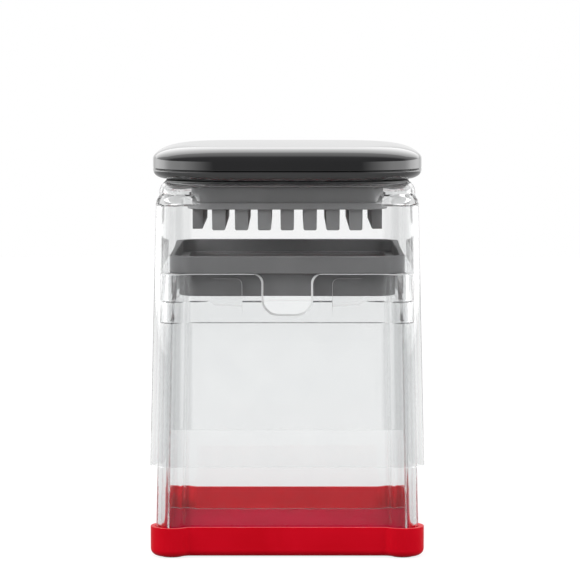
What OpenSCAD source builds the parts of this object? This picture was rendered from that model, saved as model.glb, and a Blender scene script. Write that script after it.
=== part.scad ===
// French fry cutter: a clear press sleeve slides down over a clear container and pushes a potato through a blade grid.
// Frame: +Z up, front towards -Y, origin on the table under the middle, millimetres.

/* [Base tray] */
// Width of the base over its corner columns
base_w = 120; // [112:1:130]
// Height of the base rim above the table
base_h = 13.4; // [11:0.1:18]
// Thickness of the base wall
base_wall = 2; // [1.6:0.1:3]
// Thickness of the base floor
base_floor = 2.5; // [2:0.1:4]
// Rounding of the base's lower edge
base_round = 3; // [1.5:0.1:4]
// Radius of the base's corner columns
column_r = 9.4; // [8.8:0.1:11]
// How far the base's columns stand proud of its flat sides
column_proud = 3.3; // [2.5:0.1:4]
// Radius that blends a base column into the flat side
column_blend = 2.5; // [1:0.5:6]
// Radius of a rubber foot
foot_r = 5; // [3.5:0.1:5.5]
// Thickness of a rubber foot
foot_t = 1.5; // [1:0.1:1.8]
// How far a foot stands out of the base
foot_proud = 0.5; // [0.3:0.1:0.9]

/* [Container] */
// Height of the container from the base floor to its rim
container_h = 121.3; // [100:0.1:140]
// Thickness of the container's lower wall
container_wall = 2; // [1.6:0.1:2.2]
// How far the container narrows on each side from bottom to rim
container_draft = 2.5; // [1:0.05:2.6]
// Gap between the container and the base wall
container_fit = 0.3; // [0.2:0.05:0.5]
// How much thicker the wall gets at each of its two steps
wall_step = 0.4; // [0.2:0.05:0.5]
// Depth of the upper wall step below the rim
upper_step_d = 12.4; // [11:0.1:14]
// Depth of the lower wall step below the rim
lower_step_d = 21.6; // [17:0.1:30]
// Width of a finger notch
notch_w = 21.8; // [18:0.1:26]
// Depth of a finger notch
notch_d = 18; // [15:0.1:22]
// Radius of a notch's lower corners
notch_r = 7.5; // [4:0.1:8.5]
// Radius of a notch's flared upper corners
notch_flare = 4.5; // [2:0.1:5]
// Distance of a guide pad's inner edge from the middle
pad_inner = 19.3; // [18:0.1:22]
// Width of a guide pad's face
pad_w = 12; // [8:0.5:14]
// Height of a guide pad's face
pad_h = 13; // [8:0.5:14]
// Depth of a pad's upper edge below the rim
pad_drop = 1.8; // [1:0.1:3]
// Corner radius of a pad
pad_r = 2.5; // [1:0.1:4]
// How far a pad stands out from the wall
pad_proud = 0.35; // [0.2:0.05:0.6]
// How far a pad's outer and lower sides slope out into the wall
pad_slope = 8; // [4:0.5:9]

/* [Blade insert] */
// Distance from one fry to the next
pitch = 10; // [8:0.1:13]
// How much narrower the two outer cells of a row may be together
outer_slack = 1; // [0:0.1:1.5]
// Thickness of a blade
blade_t = 0.5; // [0.4:0.05:0.8]
// Height of a blade
blade_h = 8; // [6:0.1:9]
// Height of a blade's sharpened edge
edge_h = 1.2; // [0.8:0.1:2]
// Gap on each side of a blade in the slot of a blade it crosses
slot_fit = 0.1; // [0.05:0.01:0.2]
// Gap between a blade's end and the skirt
blade_fit = 0.15; // [0.1:0.05:0.3]
// How far a blade's end reaches over its ledge
blade_seat = 1.4; // [1:0.1:1.5]
// Height of the collar above the container's rim
collar_h = 7.7; // [6:0.1:9]
// Thickness of the collar's upright wall
collar_wall = 2.5; // [2:0.1:3]
// Thickness of the collar's floor, which holds the blades down
collar_floor = 2; // [1.5:0.1:3]
// How far the collar's rim stands in from the container's outside
collar_inset = 0.2; // [0:0.05:0.4]
// Outer corner radius of the collar
collar_r = 10; // [9:0.1:12]
// Height of the skirt below the container's rim
skirt_h = 10; // [9.4:0.1:11.5]
// Thickness of the skirt's wall
skirt_wall = 1.6; // [1.2:0.1:1.8]
// Outer corner radius of the skirt
skirt_r = 9.5; // [7:0.1:11]
// Gap between the skirt and the guide pads
skirt_fit = 0.4; // [0.3:0.05:0.6]

/* [Pusher] */
// Width of a pin where it leaves the plate
pin_w = 6; // [5:0.1:7]
// Length of a pin
pin_l = 9.2; // [7.5:0.1:9.2]
// How much narrower a pin is near its tip
pin_taper = 0.4; // [0.2:0.1:0.8]
// Rounding at a pin's tip
pin_tip = 0.7; // [0.4:0.1:1]
// How far the outer pins are cut back on their outer side
pin_trim = 1.2; // [0.6:0.1:1.6]
// Margin of the plate round the grid of pins
plate_margin = 2.3; // [1.5:0.1:2.6]
// Thickness of the pusher plate
plate_t = 3.1; // [2.5:0.1:4]
// Corner radius of the pusher plate
plate_r = 11; // [8:0.5:13]
// Half width of the boss above the plate
boss_half = 42; // [39:0.5:43]
// Height of the boss above the plate
boss_h = 7.6; // [6:0.1:9]
// Wall of the boss
boss_wall = 2.2; // [1.6:0.1:3]
// Radius of a screw post
post_r = 4; // [3.4:0.1:5]

/* [Sleeve] */
// Thickness of the sleeve's wall
sleeve_wall = 1.8; // [1.5:0.1:2.2]
// Thickness of the sleeve's top
sleeve_top = 1.9; // [1.6:0.1:2.5]
// How far the sleeve narrows on each side up to its domes
sleeve_draft = 2.8; // [1.8:0.1:3]
// Running gap between sleeve and container with the press right down
slide_gap = 0.3; // [0.3:0.05:0.6]
// Radius of the sleeve's corner columns
sleeve_column_r = 9.4; // [9.2:0.1:11]
// How far the sleeve's columns stand proud of its flat sides
sleeve_proud = 1.1; // [0.6:0.1:1.5]
// Radius that blends a sleeve column into the flat side
sleeve_blend = 45; // [20:1:60]
// Height of the domes on the columns
dome_h = 5.3; // [4:0.1:6]
// Thickness of the roof over a column
dome_roof = 4.5; // [3:0.1:5]
// Distance from the top of the sleeve down to the foot of the domes
dome_d = 10.7; // [10:0.1:12]
// Corner radius of the sleeve above its domes
shoulder_r = 18; // [14:0.5:18.5]
// How far the shoulder rounds in at the top
shoulder_run = 4.2; // [3:0.1:5]
// How far the press stands up from its lowest place
press_up = 26.6; // [20:0.1:27]
// Gap between sleeve and base with the press right down
press_gap = 0.4; // [0.3:0.05:0.6]
// Gap between pusher plate and blades with the press right down
plate_gap = 0.9; // [0.6:0.1:2]

/* [Lid] */
// How far the lid's edge stands in from the sleeve's lower edge
lid_inset = 0.05; // [0:0.05:2]
// Squareness of the lid's outline
lid_power = 4; // [3.4:0.1:5]
// Height of the neck under the lid
neck_h = 0.4; // [0.3:0.1:1]
// Half width of the neck
neck_half = 48; // [44:0.5:49]
// Height of the lower lid shell
lower_h = 4.1; // [4:0.1:6]
// Height of the rounding under the lid
under_h = 3.5; // [2:0.1:3.8]
// Width of the rounding under the lid
under_run = 4.8; // [3:0.1:6]
// Seam between the two lid shells
seam = 0.2; // [0.1:0.05:0.4]
// Height of the upright side of the lid cap
cap_side_h = 3.9; // [2:0.1:5]
// Height of the rounded edge of the lid cap
cap_edge_h = 5.7; // [5:0.1:9]
// Width of the rounded edge of the lid cap
cap_edge_run = 17.5; // [12:0.5:20]
// Crown of the lid cap's top
cap_crown = 0.3; // [0.2:0.1:0.8]
// Thickness of the lid shells
lid_wall = 2.2; // [1.8:0.1:2.6]
// Reach of the cap's spigot into the lower shell
spigot_d = 1.2; // [1:0.1:1.5]
// Thickness of the spigot
spigot_t = 1.3; // [1:0.1:1.6]
// Gap between spigot and lower shell
spigot_fit = 0.2; // [0.1:0.05:0.3]
// Radius of a support post in the lid
prop_r = 3.5; // [2.5:0.1:4]
// Distance of the support posts from the middle
prop_at = 15; // [12:0.5:18]

/* [Screws] */
// Distance of the screws from the middle
screw_at = 28; // [26:0.5:29]
// Radius of a screw's shank
screw_r = 1.5; // [1.2:0.1:1.8]
// Length of a screw's shank
screw_l = 9.5; // [8.5:0.1:10]
// Radius of a screw's head
screw_head_r = 2.8; // [2.4:0.1:3]
// Height of a screw's head
screw_head_h = 1.9; // [1.5:0.1:2]
// Gap round a screw where it passes through
screw_fit = 0.2; // [0.15:0.05:0.4]
// Gap round a screw in its post
thread_fit = 0.05; // [0.03:0.01:0.1]

/* [Hidden] */
$fn = 48;
overlap = 0.5;
blend_steps = 4;
column_steps = 12;
round_steps = 4;
lid_points = 72;

// Heights, from the table up
base_z = foot_proud;
floor_z = base_z + base_floor;
rim_z = floor_z + container_h;
collar_z = rim_z + collar_h;
blade_z = rim_z - blade_h;
skirt_z = rim_z - skirt_h;
sleeve_z = base_h + press_gap + press_up;
plate_z = rim_z + plate_gap + press_up;
boss_z = plate_z + plate_t;
sleeve_under_z = boss_z + boss_h;
sleeve_top_z = sleeve_under_z + sleeve_top;
dome_z = sleeve_top_z - dome_d;
lower_z = sleeve_top_z + neck_h;
seam_z = lower_z + lower_h;
cap_z = seam_z + seam;
edge_z = cap_z + cap_side_h;
lid_floor_z = lower_z + lid_wall;

// Base and container, measured over the columns
base_half = base_w / 2;
column_at = base_half - column_r;
container_half = base_half - base_wall - container_fit;
container_r = column_r - base_wall - container_fit;
container_blend = column_blend + base_wall + container_fit;
rim_half = container_half - container_draft;
rim_flat = rim_half - column_proud;
rim_wall = container_wall + 2 * wall_step;

// Insert: it fits inside the guide pads, and its opening holds as many cells as there is room for
pad_face = rim_flat - rim_wall - pad_proud;
skirt_half = pad_face - skirt_fit;
pocket_half = skirt_half - skirt_wall;
opening_half = pocket_half - blade_fit - blade_seat;
collar_half = rim_flat - collar_inset;
cells = floor((2 * opening_half + outer_slack) / pitch);
grid_half = cells * pitch / 2;
blade_count = cells - 1;

// Press
plate_half = grid_half - (pitch - pin_w) / 2 - pin_trim + plate_margin;
sleeve_run = dome_z - sleeve_z;
guide_run = rim_z - base_h - press_gap;
sleeve_half = rim_half + slide_gap + sleeve_wall + sleeve_draft * guide_run / sleeve_run;
lid_half = sleeve_half - lid_inset;

BLADES = [for (i = [1 : blade_count]) each [str("blade_long_", i), str("blade_cross_", i)]];
FEET = [for (i = [1 : 4]) str("foot_", i)];

// Points of one quarter of a square with a round column on its corner, blended into the flat sides
function column_corner(half, r, proud, blend) =
    let (
        at = half - r,
        flat = half - proud,
        rise = flat + blend - at,
        bx = at - sqrt(pow(r + blend, 2) - pow(rise, 2)),
        turn = atan2(rise, bx - at),
        side = [for (i = [0 : blend_steps - 1])
            let (a = -90 + (turn - 90) * i / blend_steps)
            [bx + blend * cos(a), flat + blend + blend * sin(a)]],
        nose = [for (i = [0 : column_steps])
            let (a = 90 - turn + (2 * turn - 90) * i / column_steps)
            [at + r * cos(a), at + r * sin(a)]]
    )
    concat(
        [for (p = side) [p[1], p[0]]],
        nose,
        [for (i = [blend_steps - 1 : -1 : 0]) side[i]]
    );

// The same number of points along a plain rounded corner
function plain_corner(half, r) =
    let (count = 2 * blend_steps + column_steps)
    [for (i = [0 : count])
        let (a = 90 * i / count)
        [half - r + r * cos(a), half - r + r * sin(a)]];

function mixed_corner(first, second, share) =
    [for (i = [0 : len(first) - 1]) first[i] * (1 - share) + second[i] * share];

function turned(p, quarter) =
    quarter == 0 ? p : turned([-p[1], p[0]], quarter - 1);

// A full ring at height z from one quarter's points
function ring(corner, z) =
    [for (quarter = [0 : 3], p = corner)
        let (q = turned(p, quarter))
        [q[0], q[1], z]];

// A superellipse ring, used for the lid
function lid_ring(half, z) =
    [for (i = [0 : lid_points - 1])
        let (
            a = 360 * i / lid_points,
            reach = half / pow(pow(abs(cos(a)), lid_power) + pow(abs(sin(a)), lid_power), 1 / lid_power)
        )
        [reach * cos(a), reach * sin(a), z]];

function reversed(list) = [for (i = [len(list) - 1 : -1 : 0]) list[i]];

// Faces between two neighbouring rings of n points each
function band(low, high, n) =
    [for (i = [0 : n - 1])
        let (next = (i + 1) % n)
        each [[low * n + i, high * n + i, high * n + next], [low * n + i, high * n + next, low * n + next]]];

// A solid skinned over rings that follow its profile, closed at the first and last ring
module loft(rings) {
    n = len(rings[0]);
    m = len(rings);
    sides = [for (k = [0 : m - 2]) each band(k, k + 1, n)];
    first = [for (i = [0 : n - 1]) i];
    last = [for (i = [n - 1 : -1 : 0]) (m - 1) * n + i];
    polyhedron(points = [for (r = rings) each r], faces = concat([first], sides, [last]), convexity = 6);
}

// A tube skinned over rings that run up the outside and down the inside
module tube(rings) {
    n = len(rings[0]);
    m = len(rings);
    sides = [for (k = [0 : m - 1]) each band(k, (k + 1) % m, n)];
    polyhedron(points = [for (r = rings) each r], faces = sides, convexity = 6);
}

// A flat rounded square
module rounded_square(half, r) {
    square([2 * half, 2 * (half - r)], center = true);
    square([2 * (half - r), 2 * half], center = true);
    for (x = [-1, 1], y = [-1, 1]) {
        translate([x * (half - r), y * (half - r)]) circle(r);
    }
}

module at_corners(distance) {
    for (x = [-1, 1], y = [-1, 1]) {
        translate([x * distance, y * distance, 0]) children();
    }
}

// Base tray: rounded underneath, open above, with recesses for the feet
function base_corner(inset) =
    column_corner(base_half - inset, column_r - inset, column_proud, column_blend + inset);

module base_tray() {
    edge = 0.5;
    under = [for (i = [0 : round_steps])
        let (a = 90 * i / round_steps)
        ring(base_corner(base_round * (1 - sin(a))), base_z + base_round * (1 - cos(a)))];
    rim = [
        ring(base_corner(0), base_h - edge),
        ring(base_corner(edge), base_h),
        ring(base_corner(base_wall), base_h),
        ring(base_corner(base_wall), floor_z)
    ];
    color([0.76, 0.06, 0.13])
    difference() {
        loft(concat(under, rim));
        at_corners(column_at) cylinder(r = foot_r, h = foot_t);
    }
}

module foot(i) {
    x = i % 2 == 0 ? 1 : -1;
    y = i < 3 ? -1 : 1;
    color([0.16, 0.16, 0.17])
    translate([x * column_at, y * column_at, 0])
    cylinder(r = foot_r, h = foot_t);
}

// Container: a drafted tube with columns, two steps in its wall, finger notches and guide pads
function container_corner(z, inset) =
    column_corner(
        container_half - container_draft * (z - floor_z) / container_h - inset,
        container_r - inset, column_proud, container_blend + inset
    );

module notch() {
    slope = notch_flare + overlap;
    translate([-notch_w / 2 + notch_r, -notch_d]) square([notch_w - 2 * notch_r, notch_d + overlap]);
    translate([-notch_w / 2, -notch_d + notch_r]) square([notch_w, notch_d - notch_r + overlap]);
    for (x = [-1, 1]) {
        translate([x * (notch_w / 2 - notch_r), -notch_d + notch_r]) circle(notch_r);
    }
    difference() {
        translate([-notch_w / 2 - notch_flare, -notch_flare]) square([notch_w + 2 * notch_flare, slope]);
        for (x = [-1, 1]) {
            translate([x * (notch_w / 2 + notch_flare), -notch_flare]) circle(notch_flare);
        }
    }
}

// A pad's inner and upper sides are upright, and its other two sides run out into the wall
module pad_outline(w, h) {
    difference() {
        translate([0, -h]) square([w, h]);
        difference() {
            translate([-1, -pad_r]) square(pad_r + 1);
            translate([pad_r, -pad_r]) circle(pad_r);
        }
    }
}

module guide_pad() {
    skin = 0.1;
    depth = rim_flat - container_wall / 2 - pad_face;
    translate([pad_inner, -pad_face, rim_z - pad_drop])
    rotate([90, 0, 0])
    hull() {
        linear_extrude(skin) pad_outline(pad_w, pad_h);
        translate([0, 0, depth - skin]) linear_extrude(skin) pad_outline(pad_w + pad_slope, pad_h + pad_slope);
    }
}

module container() {
    soften = 0.4;
    low_z = rim_z - lower_step_d;
    high_z = rim_z - upper_step_d;
    mid_wall = container_wall + wall_step;
    color([0.88, 0.91, 0.93, 0.35]) {
        difference() {
            tube([
                ring(container_corner(floor_z, 0), floor_z),
                ring(container_corner(rim_z, 0), rim_z),
                ring(container_corner(rim_z, rim_wall), rim_z),
                ring(container_corner(high_z, rim_wall), high_z + soften),
                ring(container_corner(high_z, mid_wall), high_z),
                ring(container_corner(low_z, mid_wall), low_z + soften),
                ring(container_corner(low_z, container_wall), low_z),
                ring(container_corner(floor_z, container_wall), floor_z)
            ]);
            translate([0, base_w / 2, rim_z]) rotate([90, 0, 0]) linear_extrude(base_w) notch();
        }
        for (x = [0, 1], y = [0, 1]) {
            mirror([x, 0, 0]) mirror([0, y, 0]) guide_pad();
        }
    }
}

// Insert collar: a square flange on the rim with an upright wall and a floor over the blade ends
module insert_collar() {
    color([0.42, 0.42, 0.43])
    translate([0, 0, rim_z])
    difference() {
        linear_extrude(collar_h) rounded_square(collar_half, collar_r);
        translate([0, 0, collar_floor])
        linear_extrude(collar_h) rounded_square(collar_half - collar_wall, collar_r - collar_wall);
        translate([0, 0, -overlap])
        linear_extrude(collar_h) rounded_square(opening_half, skirt_r - skirt_wall - blade_seat);
    }
}

// Insert skirt: a square frame under the collar, with a ledge that carries the blades
module insert_skirt() {
    color([0.42, 0.42, 0.43])
    translate([0, 0, skirt_z])
    difference() {
        linear_extrude(skirt_h) rounded_square(skirt_half, skirt_r);
        translate([0, 0, blade_z - skirt_z])
        linear_extrude(skirt_h) rounded_square(pocket_half, skirt_r - skirt_wall);
        translate([0, 0, -overlap])
        linear_extrude(skirt_h) rounded_square(opening_half, skirt_r - skirt_wall - blade_seat);
    }
}

// Blades: sharpened strips that cross in half-lap slots
function blade_at(i) = (i - (blade_count + 1) / 2) * pitch;

module blade(slot_from, slot_to) {
    reach = pocket_half - blade_fit;
    top_gap = 0.1;
    slot_w = blade_t + 2 * slot_fit;
    difference() {
        translate([-reach, 0, 0])
        rotate([90, 0, 90])
        linear_extrude(2 * reach)
        polygon([
            [-blade_t / 2, 0],
            [blade_t / 2, 0],
            [blade_t / 2, blade_h - edge_h],
            [0, blade_h - top_gap],
            [-blade_t / 2, blade_h - edge_h]
        ]);
        for (i = [1 : blade_count]) {
            translate([blade_at(i) - slot_w / 2, -pitch / 4, slot_from])
            cube([slot_w, pitch / 2, slot_to - slot_from]);
        }
    }
}

module blade_long(i) {
    color([0.78, 0.79, 0.8])
    translate([0, blade_at(i), blade_z]) blade(-overlap, blade_h / 2 + slot_fit);
}

module blade_cross(i) {
    color([0.78, 0.79, 0.8])
    translate([blade_at(i), 0, blade_z]) rotate(90) blade(blade_h / 2 - slot_fit, blade_h + overlap);
}

// Pusher pins: one tapered pin to a cell, without the four corner ones
module pin(x, y) {
    edge = (cells - 1) / 2;
    trim_x = abs(x) == edge ? pin_trim : 0;
    trim_y = abs(y) == edge ? pin_trim : 0;
    sx = x < 0 ? 1 : -1;
    sy = y < 0 ? 1 : -1;
    wx = pin_w - trim_x;
    wy = pin_w - trim_y;
    tip = [0, pin_taper, pin_taper + 2 * pin_tip];
    z = [0, pin_tip - pin_l, -pin_l];
    levels = [for (k = [2 : -1 : 0])
        let (
            hx = (wx - tip[k]) / 2,
            hy = (wy - tip[k]) / 2
        )
        [[hx, hy, z[k]], [-hx, hy, z[k]], [-hx, -hy, z[k]], [hx, -hy, z[k]]]];
    translate([x * pitch + sx * trim_x / 2, y * pitch + sy * trim_y / 2, plate_z]) loft(levels);
}

module pusher_pins() {
    edge = (cells - 1) / 2;
    color([0.42, 0.42, 0.43])
    for (x = [-edge : edge], y = [-edge : edge]) {
        if (abs(x) + abs(y) < 2 * edge) pin(x, y);
    }
}

// Pusher: a plate that carries the pins, and a hollow boss with screw posts above it
module pusher() {
    color([0.42, 0.42, 0.43])
    difference() {
        union() {
            translate([0, 0, plate_z]) linear_extrude(plate_t) rounded_square(plate_half, plate_r);
            translate([0, 0, boss_z])
            linear_extrude(boss_h)
            difference() {
                rounded_square(boss_half, plate_r);
                rounded_square(boss_half - boss_wall, plate_r - boss_wall);
            }
            at_corners(screw_at) translate([0, 0, boss_z]) cylinder(r = post_r, h = boss_h);
        }
        at_corners(screw_at)
        translate([0, 0, lid_floor_z - screw_l - overlap])
        cylinder(r = screw_r + thread_fit, h = screw_l);
    }
}

// Sleeve: drafted walls with corner columns, domes on the columns and a rounded shoulder
function sleeve_narrow(z) = sleeve_draft * (min(z, dome_z) - sleeve_z) / sleeve_run;

function sleeve_corner(z, inset) =
    column_corner(
        sleeve_half - sleeve_narrow(z) - inset,
        sleeve_column_r - inset, sleeve_proud, sleeve_blend + inset
    );

function sleeve_plain(inset) =
    plain_corner(sleeve_half - sleeve_draft - sleeve_proud - inset, shoulder_r - inset);

// The dome leaves the column upright and ends level
function sleeve_dome(inset, rise) =
    [for (i = [1 : round_steps + 1])
        let (t = i / (round_steps + 1))
        ring(
            mixed_corner(sleeve_corner(dome_z, inset), sleeve_plain(inset), 1 - sqrt(1 - t * t)),
            dome_z + rise * t
        )];

function sleeve_shoulder(inset, from, top) =
    [for (i = [1 : round_steps])
        let (a = 90 * i / round_steps)
        ring(sleeve_plain(inset + shoulder_run * (1 - cos(a))), from + (top - from) * sin(a))];

function sleeve_side(inset, rise, top) =
    concat(
        [ring(sleeve_corner(dome_z, inset), dome_z)],
        sleeve_dome(inset, rise),
        sleeve_shoulder(inset, dome_z + rise, top)
    );

module sleeve() {
    lip = 0.4;
    inside = sleeve_side(sleeve_wall, dome_h - dome_roof, sleeve_under_z);
    foot = [
        ring(sleeve_corner(sleeve_z, sleeve_wall), sleeve_z + lip),
        ring(sleeve_corner(sleeve_z, sleeve_wall - lip), sleeve_z),
        ring(sleeve_corner(sleeve_z, lip), sleeve_z),
        ring(sleeve_corner(sleeve_z, 0), sleeve_z + lip)
    ];
    color([0.9, 0.92, 0.94, 0.3])
    difference() {
        loft(concat(reversed(inside), foot, sleeve_side(0, dome_h, sleeve_top_z)));
        at_corners(screw_at)
        translate([0, 0, sleeve_under_z - overlap])
        cylinder(r = screw_r + screw_fit, h = sleeve_top + 2 * overlap);
    }
}

// Lower lid shell: a rounded dish on a neck, with screw holes through its floor
module lid_lower() {
    inner_half = lid_half - lid_wall;
    cove = lower_h - lid_wall - spigot_d - spigot_fit;
    under = [for (i = [0 : round_steps])
        let (a = 90 * i / round_steps)
        lid_ring(lid_half - under_run * (1 - sin(a)), lower_z + under_h * (1 - cos(a)))];
    color([0.16, 0.16, 0.17])
    difference() {
        loft(concat(
            [lid_ring(neck_half, sleeve_top_z), lid_ring(neck_half, lower_z)],
            under,
            [
                lid_ring(lid_half, seam_z),
                lid_ring(inner_half, seam_z),
                lid_ring(inner_half, lid_floor_z + cove),
                lid_ring(inner_half - cove, lid_floor_z)
            ]
        ));
        at_corners(screw_at)
        translate([0, 0, sleeve_top_z - overlap])
        cylinder(r = screw_r + screw_fit, h = neck_h + lid_wall + 2 * overlap);
    }
}

// Lid cap: a crowned shell with a spigot inside the lower shell and posts on its floor
function cap_side(inset) =
    [for (i = [0 : 2 * round_steps])
        let (a = 90 * i / (2 * round_steps))
        lid_ring(
            lid_half - inset - cap_edge_run * (1 - cos(a)),
            edge_z + (cap_edge_h - inset) * sin(a)
        )];

module lid_cap() {
    top_z = edge_z + cap_edge_h;
    spigot_half = lid_half - lid_wall - spigot_fit;
    spigot = [
        lid_ring(spigot_half - spigot_t, seam_z - spigot_d),
        lid_ring(spigot_half, seam_z - spigot_d),
        lid_ring(spigot_half, cap_z),
        lid_ring(lid_half, cap_z)
    ];
    color([0.13, 0.13, 0.14]) {
        loft(concat(
            reversed(cap_side(lid_wall + spigot_fit + spigot_t)),
            spigot,
            cap_side(0),
            [lid_ring(lid_half / 3, top_z + cap_crown)]
        ));
        at_corners(prop_at)
        translate([0, 0, lid_floor_z])
        cylinder(r = prop_r, h = top_z - lid_wall / 2 - lid_floor_z);
    }
}

// Screws: round heads on the lower shell's floor, shanks down into the pusher's posts
module lid_screws() {
    color([0.7, 0.7, 0.71])
    at_corners(screw_at)
    translate([0, 0, lid_floor_z]) {
        cylinder(r1 = screw_head_r, r2 = screw_head_r * 0.8, h = screw_head_h);
        translate([0, 0, -screw_l]) cylinder(r = screw_r, h = screw_l + overlap);
    }
}

base_tray();
for (i = [1 : 4]) {
    foot(i);
}
container();
insert_collar();
insert_skirt();
for (i = [1 : blade_count]) {
    blade_long(i);
    blade_cross(i);
}
sleeve();
pusher();
pusher_pins();
lid_lower();
lid_cap();
lid_screws();
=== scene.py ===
import math
import bmesh
import bpy
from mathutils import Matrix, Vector


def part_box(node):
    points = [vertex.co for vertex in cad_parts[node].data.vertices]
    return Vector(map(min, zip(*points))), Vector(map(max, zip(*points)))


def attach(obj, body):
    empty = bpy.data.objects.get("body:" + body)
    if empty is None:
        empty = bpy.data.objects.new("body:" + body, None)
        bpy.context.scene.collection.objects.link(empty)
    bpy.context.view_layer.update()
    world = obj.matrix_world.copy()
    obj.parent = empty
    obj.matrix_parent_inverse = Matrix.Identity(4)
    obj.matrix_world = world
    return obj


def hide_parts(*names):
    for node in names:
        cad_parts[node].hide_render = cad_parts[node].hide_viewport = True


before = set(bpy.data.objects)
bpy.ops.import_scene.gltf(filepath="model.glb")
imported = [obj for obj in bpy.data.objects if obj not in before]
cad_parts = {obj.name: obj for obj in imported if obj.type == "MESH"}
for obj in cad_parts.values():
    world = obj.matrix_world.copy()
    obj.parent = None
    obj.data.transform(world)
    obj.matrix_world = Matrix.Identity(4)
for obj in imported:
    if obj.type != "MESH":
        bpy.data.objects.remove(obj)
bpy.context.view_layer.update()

# Base tray
# The tray is one moulding in satin red plastic: a shallow open box with a round column on each corner.
# Its outer lower edge is rounded, and the container stands on its floor inside the walls.
# The floor is matt, and its red is painted darker as shade.

MM = 0.001
NEAR = 0.01 * MM


def add_modifier(piece, kind, **settings):
    """Adds a modifier to the piece and applies it."""
    bpy.context.view_layer.objects.active = piece
    modifier = piece.modifiers.new(kind.lower(), kind)
    for key, value in settings.items():
        setattr(modifier, key, value)
    bpy.ops.object.modifier_apply(modifier=modifier.name)


def pick(kind, test):
    """In edit mode, selects only the vertices, edges or faces that pass the test."""
    bpy.ops.mesh.select_mode(type=kind)
    bpy.ops.mesh.select_all(action="DESELECT")
    data = bpy.context.edit_object.data
    mesh = bmesh.from_edit_mesh(data)
    items = {"VERT": mesh.verts, "EDGE": mesh.edges, "FACE": mesh.faces}[kind]
    items.index_update()
    for item in items:
        if test(item):
            item.select_set(True)
    mesh.select_flush_mode()
    bmesh.update_edit_mesh(data)


def at_height(edge, z):
    """True for an edge that lies level at height z."""
    return all(abs(v.co.z - z) < 2 * NEAR for v in edge.verts)


def one_point(name, x, y, z):
    """Starts a piece in edit mode with a single point."""
    bpy.ops.object.select_all(action="DESELECT")
    bpy.ops.mesh.primitive_plane_add(size=MM, location=(0, 0, 0))
    piece = bpy.context.object
    piece.name = name
    bpy.ops.object.mode_set(mode="EDIT")
    bpy.ops.mesh.merge(type="CENTER")
    bpy.ops.transform.translate(value=(x, y, z))
    return piece


def draw_on(x, y, z):
    """Extrudes the selected end by a step."""
    bpy.ops.mesh.extrude_region_move(TRANSFORM_OT_translate={"value": (x, y, z)})


def arc_on(steps, angle, center, axis=(0, 0, 1)):
    """Carries the selected end round a centre, anticlockwise for a positive angle."""
    bpy.ops.mesh.spin(steps=steps, angle=-angle, center=center, axis=axis)


column_steps = 24
blend_steps = 6


def column_outline(name, half, column_r, proud, blend, z):
    """Draws a quarter of an outline: a flat side, the round column on the corner, and the next flat side."""
    at = half - column_r
    flat = half - proud
    rise = flat + blend - at
    side = at - math.sqrt((column_r + blend) ** 2 - rise ** 2)
    turn = math.atan2(rise, side - at)
    lean = turn - math.pi / 2
    piece = one_point(name, flat, 0, z)
    draw_on(0, side, 0)
    arc_on(blend_steps, -lean, (flat + blend, side, z))
    arc_on(column_steps, 2 * turn - math.pi / 2, (at, at, z))
    arc_on(blend_steps, -lean, (side, flat + blend, z))
    draw_on(-side, 0, 0)
    bpy.ops.mesh.select_all(action="SELECT")
    return piece


def raise_edge(rise, scale=1.0):
    """Extrudes the selected edge upwards and draws it in towards the middle."""
    draw_on(0, 0, rise)
    bpy.ops.transform.resize(value=(scale, scale, 1), center_override=(0, 0, 0))


def face_outwards():
    """In edit mode, turns all faces of the piece outwards."""
    bpy.ops.mesh.select_all(action="SELECT")
    bpy.ops.mesh.normals_make_consistent(inside=False)


def mirror_quarter(piece):
    """Mirrors a quarter to the whole outline and turns its faces outwards."""
    bpy.ops.object.mode_set(mode="OBJECT")
    add_modifier(piece, "MIRROR", use_axis=(True, True, False), merge_threshold=NEAR)
    bpy.ops.object.mode_set(mode="EDIT")
    face_outwards()


def shade_smooth(piece, angle):
    """Shades the piece smooth but for edges sharper than the angle."""
    bpy.ops.object.select_all(action="DESELECT")
    piece.select_set(True)
    bpy.context.view_layer.objects.active = piece
    bpy.ops.object.shade_smooth_by_angle(angle=math.radians(angle))
    add_modifier(piece, "WEIGHTED_NORMAL", keep_sharp=True, weight=60)


def round_edges(piece, width, segments=3, angle=35):
    """Rounds the sharp edges of the piece."""
    bpy.ops.object.mode_set(mode="OBJECT")
    add_modifier(piece, "BEVEL", width=width, segments=segments, limit_method="ANGLE",
                 angle_limit=math.radians(angle), miter_outer="MITER_ARC")


def finish_edges(piece, width, angle=35):
    """Rounds the sharp edges and shades the piece smooth."""
    round_edges(piece, width, angle=angle)
    shade_smooth(piece, angle=50)


tray_low, tray_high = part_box("base_tray")
tray_wall = 2.0 * MM
tray_floor = 2.5 * MM
tray_round = 3.0 * MM
tray_edge_r = 0.5 * MM
tray_column_r = 9.4 * MM
tray_column_proud = 3.3 * MM
tray_column_blend = 2.5 * MM

tray = column_outline("red_tray", tray_high[0], tray_column_r, tray_column_proud, tray_column_blend,
                      tray_low[2])
raise_edge(tray_high[2] - tray_low[2])
mirror_quarter(tray)
pick("EDGE", lambda edge: at_height(edge, tray_low[2]))
bpy.ops.mesh.edge_face_add()
face_outwards()
pick("EDGE", lambda edge: at_height(edge, tray_low[2]))
bpy.ops.mesh.bevel(offset=tray_round, segments=6, profile=0.5)
bpy.ops.object.mode_set(mode="OBJECT")
outer_points = len(tray.data.vertices)
add_modifier(tray, "SOLIDIFY", thickness=tray_wall, offset=-1, use_even_offset=True)
bpy.ops.object.mode_set(mode="EDIT")
floor_z = tray_low[2] + tray_floor
pick("VERT", lambda vert: vert.index >= outer_points and vert.co.z < floor_z)
bpy.ops.transform.resize(value=(1, 1, 0), center_override=(0, 0, floor_z))
finish_edges(tray, tray_edge_r)


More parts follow.
